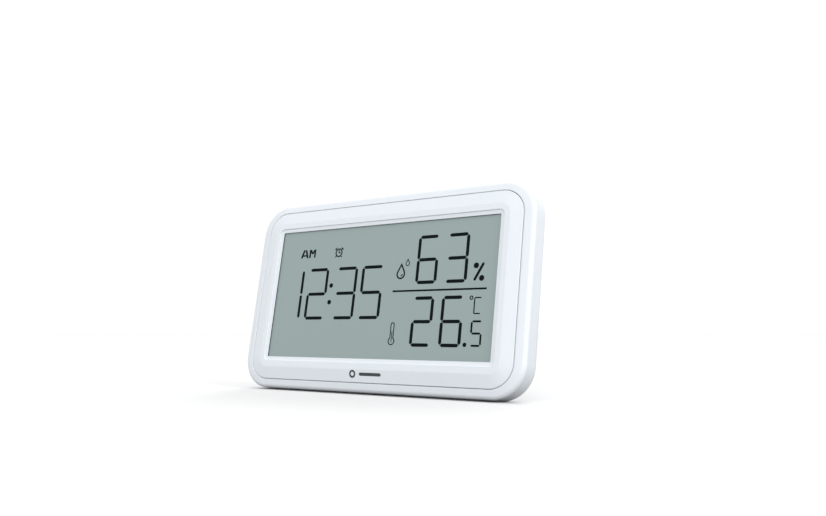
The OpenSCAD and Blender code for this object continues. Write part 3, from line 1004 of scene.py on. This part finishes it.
        ring = Disc(1.25, -5.4, height, 48)
        hole = Disc(0.65, -5.4, height, 48)
        rings = [ring.ring(0, 0), ring.ring(0, -thick), hole.ring(0, -thick), hole.ring(0, 0)]
        print_ring = loft("print_ring", [lay(r) for r in rings], loop=True)
        bar = RoundRect(4.3, 0.5, 0.5, mid_x=1.6, mid_z=height, steps=8)
        print_bar = loft("print_bar", [lay(bar.ring(0, 0)), lay(bar.ring(0, -thick))])
        print_ring.obj.name = "printed_mark"
        print_ring.combine([print_bar], Boolean.JOIN)
        print_ring.finish("case", PAD_PRINT, [])


@dataclass
class Casing:
    """The back shell: rim, side walls, back wall and battery housing with all its openings."""

    post_front: float = 5.0
    bay_half_w: float = 25.6
    bay_front: float = 7.2
    bay_floor: float = 1.2
    bay_low: float = 14.9
    bay_high: float = 37.3
    door_t: float = 1.55
    gap: float = 0.15
    tongue: float = 1.35
    tongue_t: float = 0.55
    screws: tuple[float, float, float] = (48.5, 8.5, 56.5)
    side_x: float = 38.5
    side_z: float = 26.0
    keyhole: Keyhole = field(default_factory=lambda: Keyhole(4.3, 2.2, 4.0, 53.6))
    pocket_front: float = 5.6
    lip: float = 0.25
    strip: float = 42.0
    relief: float = 0.15
    post_r: float = 2.1
    shank_r: float = 1.15
    head_r: float = 2.05
    head_sink: float = 1.5
    button_hole: tuple[float, float] = (4.7, 2.5)
    pocket_r: float = 5.1
    vent: tuple[float, float] = (5.5, 0.65)
    vent_pitch: float = 3.0
    sound_r: float = 0.75
    sound_ring: float = 3.6

    def frame_block(self) -> Solid:
        """The frame with its round front and back edges, hollowed from the front.

        Returns:
            The hollow frame.
        """
        s = SHAPE
        lean = math.radians(s.face_slope)
        fall = (s.rim_flat - s.front_edge) * math.tan(lean) + s.front_edge / math.cos(lean)
        turn = arc(
            (s.front_edge, s.rim_front + fall), s.front_edge, 270 - s.face_slope, 180, 12
        )
        front = path([s.rim_flat + 2.0, s.rim_front], [s.rim_flat, s.rim_front], turn)
        back = arc((s.back_edge, s.frame_depth - s.back_edge), s.back_edge, 180, 90, 12)
        block = edged("casing_shell", s.outline, path(front, back))
        edge = 0.25
        seam = arc((-edge, s.rim_front + edge), edge, 270, 360, 5)
        outline = RoundRect(*s.seam_half, s.seam_corner, mid_z=s.half_h, steps=24)
        hollow = path([-edge, 0], seam, [0, s.back_inner])
        return block.combine([edged("hollow", outline, hollow)], Boolean.CUT)

    def spots(self) -> list[tuple[float, float]]:
        """Places of the case screws."""
        x, low, high = self.screws
        return [(sx * x, z) for sx in (-1, 1) for z in (low, high)]

    def wide_key(self, radius: float) -> Keyhole:
        """An outline round the keyhole that is as wide along its slot as at its entry."""
        return Keyhole(radius, radius - 1e-3, self.keyhole.rise, self.keyhole.mid_z)

    def added(self) -> list[Solid]:
        """Housing, inner walls of the battery bay, screw posts and the keyhole's pocket.

        Returns:
            Solids to join.
        """
        s = SHAPE
        inner = RoundRect(
            s.housing_half_w, (s.housing_high - s.housing_low) / 2, 1.0,
            mid_z=(s.housing_high + s.housing_low) / 2, steps=6,
        )
        pocket = self.wide_key(self.pocket_r)
        solids = [
            s.housing("housing", root=0.6),
            edged("bay_walls", inner, path([0, self.bay_front - self.bay_floor], [0, 9.2])),
            edged("pocket", pocket, path([0, self.pocket_front - 0.8], [0, s.back_inner + 0.4])),
        ]
        solids += [
            edged(f"post_{n}", Disc(self.post_r, x, z),
                  path([0, self.post_front], [0, s.back_inner + 0.4]))
            for n, (x, z) in enumerate(self.spots())
        ]
        return solids

    def door_way(self) -> list[Solid]:
        """Cutters for the bay and for the way that the battery door slides in.

        Returns:
            Solids to cut away.
        """
        s = SHAPE
        groove = s.door_half + self.tongue + self.gap
        face = s.housing_depth - self.door_t - self.gap
        mouth = RoundRect(
            s.door_half + self.gap, (s.housing_high + 6 - s.door_low) / 2, 0.6,
            mid_z=(s.housing_high + 6 + s.door_low - 0.2) / 2, steps=6,
        )
        return [
            box("bay", (-self.bay_half_w, self.bay_half_w), (self.bay_front, face + 0.05),
                (self.bay_low, self.bay_high)),
            box("groove", (-groove, groove), (face, face + self.tongue_t + 2 * self.gap),
                (s.door_low - 0.1, s.housing_high + 3)),
            edged("mouth", mouth, dished(face, s.housing_depth, 0.18)),
        ]

    def holes(self) -> list[Solid]:
        """Cutters for screws, buttons, keyhole, vents and sound holes.

        Returns:
            Solids to cut away.
        """
        s = SHAPE
        through = dished(s.back_inner - 0.5, s.frame_depth, self.lip)
        cutters = []
        for n, (x, z) in enumerate(self.spots()):
            seat = s.frame_depth - self.head_sink
            shank = path([0, self.post_front - 1], [0, seat + 0.1])
            cutters.append(edged(f"shank_{n}", Disc(self.shank_r, x, z), shank))
            sunk = dished(seat, s.frame_depth, self.lip)
            cutters.append(edged(f"seat_{n}", Disc(self.head_r, x, z), sunk))
        for n, x in enumerate(Buttons().places()):
            pill = RoundRect(*self.button_hole, self.button_hole[1] - 0.02, x, Buttons.height)
            cutters.append(edged(f"button_hole_{n}", pill, through))
        cutters.append(edged("keyhole", self.keyhole, through))
        inside = self.wide_key(self.keyhole.entry_r)
        inner = path([0, self.pocket_front], [0, s.back_inner])
        cutters.append(edged("pocket_hollow", inside, inner))
        for n in range(5):
            height = self.side_z + self.vent_pitch * (n - 2)
            slot = RoundRect(*self.vent, self.vent[1] - 0.01, -self.side_x, height)
            cutters.append(edged(f"vent_{n}", slot, through))
        middle = (self.side_x, self.side_z)
        for n, (x, z) in enumerate([middle, *arc(middle, self.sound_ring, 0, 300, 5)]):
            cutters.append(edged(f"sound_hole_{n}", Disc(self.sound_r, x, z, 24), through))
        return cutters

    def pivots(self) -> list[Solid]:
        """Cutters for the stand's blind pivot holes in the housing's sides.

        Returns:
            Solids to cut away.
        """
        profile = path([26.2, 2.0], [27.8, 2.0], [28.0, 2.2], [29.0, 2.2])
        return [
            turned(f"pivot_{n}", [0, CaseFrame.pivot_depth, CaseFrame.pivot_height],
                   [side, 0, 0], profile)
            for n, side in enumerate((-1, 1))
        ]

    def floor_cut(
        self, name: str, low: float = -100.0, high: float = 100.0, top: float = 0.0
    ) -> Solid:
        """Cutter for everything below a level, however the case leans.

        Args:
            name: the solid's name.
            low: where it begins across the case.
            high: where it ends across the case.
            top: its level above the surface that the clock stands on.

        Returns:
            The closed solid.
        """
        to_case = CASE.inverted()
        points = np.array([
            to_case @ (MM * Vector((x, y, z))) for z in (-20.0, top)
            for x, y in ((low, -100), (high, -100), (high, 100), (low, 100))
        ])
        return loft(name, [points[:4], points[4:]])

    def build(self) -> None:
        """Builds the casing."""
        shell = self.frame_block()
        shell.combine(self.added(), Boolean.JOIN)
        shell.combine(self.door_way() + self.holes() + self.pivots(), Boolean.CUT)
        past = 1.1 * SHAPE.half_w
        lower_edge = [
            self.floor_cut("casing_floor"),
            self.floor_cut("relief_left", -past, -self.strip, self.relief),
            self.floor_cut("relief_right", self.strip, past, self.relief),
        ]
        shell.combine(lower_edge, Boolean.CUT)
        shell.finish("case", WHITE_ABS, ["rear_casing"])


@dataclass
class BatteryDoor:
    """The sliding door, cut from the housing's own shape, with tongues and a ribbed grip."""

    inner: float = 18.45
    tongue: float = 1.35
    tongue_t: float = 0.55

    def build(self) -> None:
        """Builds the door."""
        s = SHAPE
        top = s.housing_high + 6
        plate = RoundRect(
            s.door_half, (top - s.door_low) / 2, 0.5, mid_z=(top + s.door_low) / 2, steps=6
        )
        edge = 0.18
        profile = path([0, self.inner], arc((edge, s.housing_depth - edge), edge, 180, 90, 4))
        door = s.housing("door_plate", root=0)
        door.combine([edged("door_area", plate, profile)], Boolean.KEEP)
        root, tip = s.door_half - 1, s.door_half + self.tongue
        tongues = [
            box(f"tongue_{n}", sorted((side * root, side * tip)),
                (self.inner, self.inner + self.tongue_t), (s.door_low, s.housing_high - 1.2))
            for n, side in enumerate((-1, 1))
        ]
        door.combine(tongues, Boolean.JOIN)
        grooves = []
        for n in range(4):
            slot = RoundRect(7.0, 0.45, 0.44, mid_z=s.housing_high - 9.55 + 1.9 * n, steps=8)
            curve = arc((0.4, s.housing_depth - 0.05), 0.4, 270, 180, 5)
            grooves.append(edged(f"groove_{n}", slot, path(curve, [-0.05, s.housing_depth + 1])))
        door.combine(grooves, Boolean.CUT)
        door.obj.name = "door_panel"
        door.finish("battery_door", WHITE_ABS, ["battery_door"])


@dataclass
class Kickstand:
    """The fold-out stand: two arms and a bar, with moulded stubs that turn in the housing."""

    arm_w: float = 5.0
    arm_t: float = 3.5
    arm_x: float = 28.3
    bar_h: float = 5.0
    spread: float = 14.0
    heel: float = 1.45
    stub_r: float = 1.92
    soften: float = 0.7

    def side_ring(self, inset: float, x: float, reach: float) -> Points:
        """Side view of a folded arm, drawn in by an inset, with its pivot at the origin.

        Args:
            inset: how far the outline is drawn in.
            x: its place across the case.
            reach: length from the pivot to the arm's end.

        Returns:
            Points as rows of x, depth, z.
        """
        half = self.arm_w / 2 - inset
        line = path(
            [-half, -reach + inset], [half, -reach + inset],
            arc((0, 0), half, 0, 90, 14), [-0.3, half - 0.02],
            [-half + 0.3, self.heel - inset], [-half, self.heel - inset - 0.3],
        )
        return np.insert(line, 0, x, axis=1)

    def arm(self, side: int, reach: float) -> Solid:
        """One arm with softened edges.

        Args:
            side: -1 for the left arm and 1 for the right.
            reach: length from the pivot to the arm's end.

        Returns:
            The arm, folded, with its pivot at the origin.
        """
        near, far = self.arm_x, self.arm_x + self.arm_t
        s = self.soften
        rise = arc((s, near + s), s, 270, 180, 5)
        fall = arc((s, far - s), s, 180, 90, 5)
        rings = [self.side_ring(inset, side * x, reach) for inset, x in path(rise, fall)]
        return loft(f"arm_{side}", rings)

    def bar(self, reach: float) -> Solid:
        """The bar between the arms' ends, with softened edges.

        Args:
            reach: length from the pivot to the bar's lower face.

        Returns:
            The bar, folded, with the pivot at the origin.
        """
        mid = -reach + self.bar_h / 2 + 0.5
        section = RoundRect(self.arm_w / 2, self.bar_h / 2 + 0.5, 1.0, mid_z=mid, steps=6)
        end, s = self.arm_x + self.arm_t, self.soften
        curve = arc((s, end - s), s, 180, 90, 5)
        half = [(inset, x) for inset, x in curve]
        stops = [(i, -x) for i, x in reversed(half)] + half
        rings = []
        for inset, x in stops:
            flat = section.ring(inset, 0)
            rings.append(np.stack([np.full(len(flat), x), flat[:, 0], flat[:, 2]], axis=1))
        return loft("bar", rings)

    def build(self) -> None:
        """Builds the stand folded, opens it and cuts its foot level with the surface."""
        pivot = Vector((0, CaseFrame.pivot_depth, CaseFrame.pivot_height))
        lean = math.asin(joint("battery_door_slide")["axis"][1])
        height = joint("kickstand_hinge")["pos_m"][2] / MM
        reach = height / math.cos(math.radians(self.spread)) + 1
        stand = self.arm(-1, reach)
        stubs = [
            turned(f"stub_{n}", [0, 0, 0], [side, 0, 0],
                   path([26.4, self.stub_r - 0.3], [26.7, self.stub_r], [29.5, self.stub_r]))
            for n, side in enumerate((-1, 1))
        ]
        stand.combine([self.arm(1, reach), self.bar(reach), *stubs], Boolean.JOIN)
        opened = Matrix.Rotation(math.radians(self.spread) + lean, 4, "X")
        stand.obj.data.transform(Matrix.Translation(pivot) @ opened)
        stand.combine([Casing().floor_cut("stand_floor")], Boolean.CUT)
        stand.obj.name = "stand_frame"
        stand.finish("kickstand", WHITE_ABS, ["kickstand"])


class Sign(Enum):
    """What is sunk into the top of each button, in order from the left of the case."""

    MODE = "mode"
    UP = "up"
    DOWN = "down"
    UNIT = "unit"


@dataclass
class Buttons:
    """Four buttons in a row on the back, each with a plain sunken sign."""

    height: float = 46.4
    pitch: float = 17.0
    top: float = 10.6
    flange_front: float = 7.3
    flange_t: float = 0.6
    sink: float = 0.22

    def places(self) -> list[float]:
        """Places of the buttons across the case."""
        return [(n - 1.5) * self.pitch for n in range(4)]

    def cap(self, name: str, x: float) -> Solid:
        """A button with its flange and a softly domed top.

        Args:
            name: the solid's name.
            x: its place across the case.

        Returns:
            The closed solid.
        """
        flange = RoundRect(5.5, 3.3, 1.0, x, self.height, steps=12)
        pill = RoundRect(4.5, 2.3, 2.28, x, self.height, steps=12)
        back = self.flange_front + self.flange_t
        dome = arc((1.0, self.top - 0.62), 1.0, 180, 100, 8)
        dome[:, 1] = self.top - 0.62 + (dome[:, 1] - (self.top - 0.62)) * 0.6
        rings = [flange.ring(0.1, self.flange_front), flange.ring(0, self.flange_front + 0.1)]
        rings += [flange.ring(0, back - 0.1), flange.ring(0.1, back), pill.ring(0, back)]
        rings += [pill.ring(inset, depth) for inset, depth in dome]
        rings += [pill.ring(1.6, self.top)]
        return loft(name, rings)

    def sign(self, which: Sign, x: float) -> list[Solid]:
        """Cutters for the sign on one button.

        Args:
            which: the button.
            x: its place across the case.

        Returns:
            Solids to cut away, which reach just under the button's top.
        """
        floor = self.top - self.sink
        cut = path([0.08, floor], [0, floor + 0.08], [0, self.top + 1])
        bar = RoundRect(1.1, 0.2, 0.19, x, self.height, steps=5)
        stem = RoundRect(0.2, 1.1, 0.19, x, self.height, steps=5)
        dot = Disc(0.55, x, self.height, 24)
        small = Disc(0.4, x, self.height + 0.4, 24)
        parts = {Sign.MODE: [dot], Sign.UP: [bar, stem], Sign.DOWN: [bar], Sign.UNIT: [small]}
        return [edged(f"sign_{which.value}_{n}", p, cut) for n, p in enumerate(parts[which])]

    def build(self) -> None:
        """Builds the four buttons."""
        for which, x in zip(Sign, self.places()):
            body = f"{which.value}_button"
            button = self.cap(f"{which.value}_cap", x)
            button.combine(self.sign(which, x), Boolean.CUT)
            button.finish(body, BUTTON_ABS, [body])


# ---------------------------------------------------------------------------------------------
# Battery bay and screws
# ---------------------------------------------------------------------------------------------


@dataclass
class Cells:
    """Two AAA cells, one above the other, pointing opposite ways."""

    radius: float = 5.25
    length: float = 44.5
    nub: float = 1.0
    depth: float = 12.65
    tip: float = 25.05
    heights: tuple[float, float] = (31.65, 20.55)

    def build(self) -> None:
        """Turns each cell from its outline: nub, crimped shoulder, wrap, crimp and base."""
        r, length = self.radius, self.length
        profile = path(
            [0, 1.5], [0.05, 1.75], [0.2, 1.88], [self.nub - 0.1, 1.88], [self.nub, 2.0],
            [self.nub, 4.2], [self.nub + 0.1, 4.45],
            arc((self.nub + 0.55, r - 0.45), 0.45, 180, 90, 5),
            [self.nub + 1.3, r], [self.nub + 1.5, r - 0.1], [self.nub + 1.9, r - 0.1],
            [self.nub + 2.1, r], [length - 0.5, r], arc((length - 0.5, r - 0.4), 0.4, 90, 10, 4),
            [length - 0.1, 4.3], [length - 0.12, 3.4], [length, 3.1], [length, 0.02],
        )
        profile = profile[np.argsort(profile[:, 0], kind="stable")]
        for name, side, z in zip(("upper_cell", "lower_cell"), (1, -1), self.heights):
            wrap = BandedWrap(
                f"printed_wrap_{name}", "cell_wrap", "1F5A45", "1F5A45", roughness=0.3,
                metallic=0.55, grain=0.3, relief=0.004, end=float(side),
                middle=side * (self.tip - length / 2) * MM, reach=length / 2 * MM,
            )
            start = [side * self.tip, self.depth, z]
            cell = turned(f"{name}_can", start, [-side, 0, 0], profile, 48)
            cell.finish("case", wrap, [name], sharp=40)


@dataclass
class ContactSprings:
    """Conical contact springs, wound from wire, wide at the plate."""

    wire: float = 0.3
    wide: float = 3.4
    narrow: float = 2.0
    turns: float = 4.5
    base: float = 25.13
    length: float = 5.35
    depth: float = 12.65

    def line(self, side: int, z: float) -> Points:
        """Centre line of the wire: a helix along X whose radius shrinks towards the cell.

        The rise is slow at both ends, so that the first and last turns lie almost flat.

        Args:
            side: which end of the bay it is at.
            z: height of the cell that it presses on.

        Returns:
            Points along the wire.
        """
        t = np.linspace(0, 1, 200)
        rise = t - np.sin(4 * np.pi * t) / (6 * np.pi)
        x = side * (self.base - self.wire - (self.length - 2 * self.wire) * rise)
        r = self.wide + (self.narrow - self.wide) * t
        a = 2 * np.pi * self.turns * t
        return np.stack([x, self.depth + r * np.cos(a), z + r * np.sin(a)], axis=1)

    def build(self) -> None:
        """Winds both springs."""
        for name, side, z in (("negative_spring", -1, 31.65), ("link_spring", 1, 20.55)):
            spring = tube(f"{name}_coil", self.line(side, z), self.wire, 10)
            spring.finish("case", NICKEL, [name])


@dataclass
class CaseScrews:
    """Self-tapping screws with a domed head, a cross recess and a cut thread."""

    head_r: float = 1.9
    seat: float = 8.3
    head_t: float = 1.1
    tip: float = 2.0
    thread_r: float = 1.0
    pitch: float = 0.8

    def screw(self, name: str, x: float, z: float) -> Solid:
        """One screw along the depth.

        Args:
            name: the solid's name.
            x: its place across the case.
            z: its height.

        Returns:
            The closed solid.
        """
        turns = np.arange(self.tip + 1.0, self.seat - 0.6, self.pitch / 2)
        radii = np.where(np.arange(len(turns)) % 2 == 0, self.thread_r, self.thread_r - 0.25)
        top = self.seat + self.head_t
        dome = arc((self.seat + 0.3, 0.0), 1.0, 0, 90, 8)[::-1]
        dome[:, 0] = self.seat + 0.3 + (dome[:, 0] - self.seat - 0.3) * (self.head_t - 0.3)
        dome[:, 1] = dome[:, 1] * self.head_r
        profile = path(
            [self.tip, 0.05], [self.tip + 0.8, 0.7], np.stack([turns, radii], axis=1),
            [self.seat - 0.5, 0.8], [self.seat, 0.8], [self.seat, self.head_r], dome[:-1],
            [top, 0.05],
        )
        body = turned(name, [x, 0, z], [0, 1, 0], profile, 32)
        arm, width, sink = 1.15, 0.28, 0.75
        slots = []
        for n, (w, h) in enumerate(((arm, width), (width, arm))):
            outline = RoundRect(w, h, 0.08, x, z, steps=3)
            slots.append(edged(f"slot_{n}", outline, path([0.18, top - sink], [0, top + 1])))
        return body.combine(slots, Boolean.CUT)

    def build(self) -> None:
        """Builds the four screws as one piece."""
        first, *rest = [
            self.screw(f"case_screw_{n}", x, z) for n, (x, z) in enumerate(Casing().spots())
        ]
        first.combine(rest, Boolean.JOIN)
        first.obj.name = "case_screw_set"
        first.finish("case", ZINC, ["casing_screws"])


@dataclass
class Electronics:
    """The display's layers and everything on the circuit board, which keep their CAD shapes."""

    finishes: dict[str, Finish] = field(default_factory=lambda: {
        # The gasket's black foam is a real seal and also painted shade for the shadow gap round the
        # display.
        "front_polariser": POLARISER, "display_segments": SEGMENTS, "display_gasket": BLACK_FOAM_GAP_SHADE,
        "lcd_front_glass": GLASS, "lcd_rear_glass": GLASS, "reflector": REFLECTOR,
        "contact_strip": ZEBRA, "main_board": BOARD, "controller_blob": EPOXY, "crystal_can": TIN,
        "buffer_capacitor": TANTALUM, "humidity_sensor": SENSOR, "thermistor": BEAD,
        "switch_cases": TIN, "mode_stem": NYLON, "up_stem": NYLON, "down_stem": NYLON,
        "unit_stem": NYLON, "positive_contact": NICKEL, "negative_contact": NICKEL,
        "link_contact": NICKEL, "piezo_plate": BRASS, "piezo_ceramic": CERAMIC,
        "buzzer_springs": NICKEL, "board_screws": ZINC,
    })

    def dress(self) -> None:
        """Gives each carried-over node its finish."""
        for name, finish in self.finishes.items():
            slots = frame["nodes"][name].data.materials
            slots.clear()
            slots.append(finish.material())
            LOG.info("%s: %s", name, finish.name)


# ---------------------------------------------------------------------------------------------
# Studio
# ---------------------------------------------------------------------------------------------


@dataclass
class Studio:
    """Pale floor, soft light and the camera."""

    lens: float = 34.88
    azimuth: float = 34.89
    tilt: float = 5.02
    camera_at: tuple[float, float, float] = (0.15709, -0.21305, 0.02093)
    floor_half: float = 4.0
    bounce: float = 0.26
    seen: float = 0.9
    room: float = 0.9
    key: float = 1.0
    key_at: tuple[float, float, float] = (0.35, -1.0, 0.35)
    fill: float = 3.2
    fill_at: tuple[float, float, float] = (0.9, -0.1, 0.35)
    back: float = 0.5
    back_at: tuple[float, float, float] = (-0.3, 1.0, 1.0)
    key_angle: float = 45.0
    back_angle: float = 30.0
    fill_size: float = 0.5
    backdrop: float = 1.05

    def camera(self) -> None:
        """Sets up the camera: low, to the right of the case, looking slightly up."""
        data = bpy.data.cameras.new("camera")
        data.lens = self.lens
        data.sensor_width = 36.0
        data.clip_start, data.clip_end = 0.01, 50.0
        camera = bpy.data.objects.new("camera", data)
        camera.location = self.camera_at
        camera.rotation_euler = (math.radians(90 + self.tilt), 0, math.radians(self.azimuth))
        bpy.context.scene.collection.objects.link(camera)
        bpy.context.scene.camera = camera

    def floor(self) -> None:
        h = self.floor_half
        mesh = bpy.data.meshes.new("floor")
        mesh.from_pydata([(-h, -h, 0), (h, -h, 0), (h, h, 0), (-h, h, 0)], [], [(0, 1, 2, 3)])
        paper = bpy.data.materials.new("matte_white_paper")
        paper.use_nodes = True
        tree = paper.node_tree
        tree.nodes.clear()
        ray = add_node(tree, "LightPath")
        lit, seen = [(level, level, level, 1.0) for level in (self.bounce, self.seen)]
        white = mix_colours(tree, ray.outputs["Is Camera Ray"], lit, seen)
        shader = add_node(tree, "BsdfDiffuse", {"Color": white})
        add_node(tree, "OutputMaterial", {"Surface": shader.outputs[0]})
        mesh.materials.append(paper)
        floor = bpy.data.objects.new("floor", mesh)
        bpy.context.scene.collection.objects.link(floor)

    def lamp(self, name: str, kind: str, at: Sequence[float], size: float, power: float) -> None:
        """Hangs one soft light that faces the clock.

        Args:
            name: the light's name.
            kind: AREA for a square panel, or SUN for an even wide light from one side.
            at: where it hangs, in metres.
            size: the length of a panel's side in metres, or the sun's angle in degrees.
            power: its power in watts, or the sun's strength.
        """
        data = bpy.data.lights.new(name, kind)
        data.energy = power
        if kind == "AREA":
            data.size = size
        else:
            data.angle = math.radians(size)
        lamp = bpy.data.objects.new(name, data)
        lamp.location = at
        aim = Vector((0, 0, 0.03)) - Vector(at)
        lamp.rotation_euler = aim.to_track_quat("-Z", "Y").to_euler()
        bpy.context.scene.collection.objects.link(lamp)

    def build(self) -> None:
        """Builds the studio."""
        world = bpy.data.worlds.new("white_room")
        world.use_nodes = True
        tree = world.node_tree
        tree.nodes.clear()
        ray = add_node(tree, "LightPath")
        strength = add_node(
            tree,
            "MapRange",
            {"Value": ray.outputs["Is Camera Ray"]},
            in_3=self.room,
            in_4=self.backdrop,
        )
        sky = add_node(
            tree, "Background", {"Strength": strength.outputs[0]}, in_Color=linear("FFFFFF")
        )
        add_node(tree, "OutputWorld", {"Surface": sky.outputs[0]})
        bpy.context.scene.world = world
        bpy.context.scene.view_settings.view_transform = "Standard"
        self.camera()
        self.floor()
        self.lamp("key", "SUN", self.key_at, self.key_angle, self.key)
        self.lamp("fill", "AREA", self.fill_at, self.fill_size, self.fill)
        self.lamp("back", "SUN", self.back_at, self.back_angle, self.back)


def main() -> None:
    """Builds the clock piece by piece and reports each one."""
    logging.basicConfig(level=logging.INFO, format="%(name)s: %(message)s")
    Studio().build()
    bezel = Bezel()
    bezel.build()
    bezel.mark()
    Casing().build()
    BatteryDoor().build()
    Kickstand().build()
    Buttons().build()
    Cells().build()
    ContactSprings().build()
    CaseScrews().build()
    Electronics().dress()


if __name__ == "__main__":
    main()
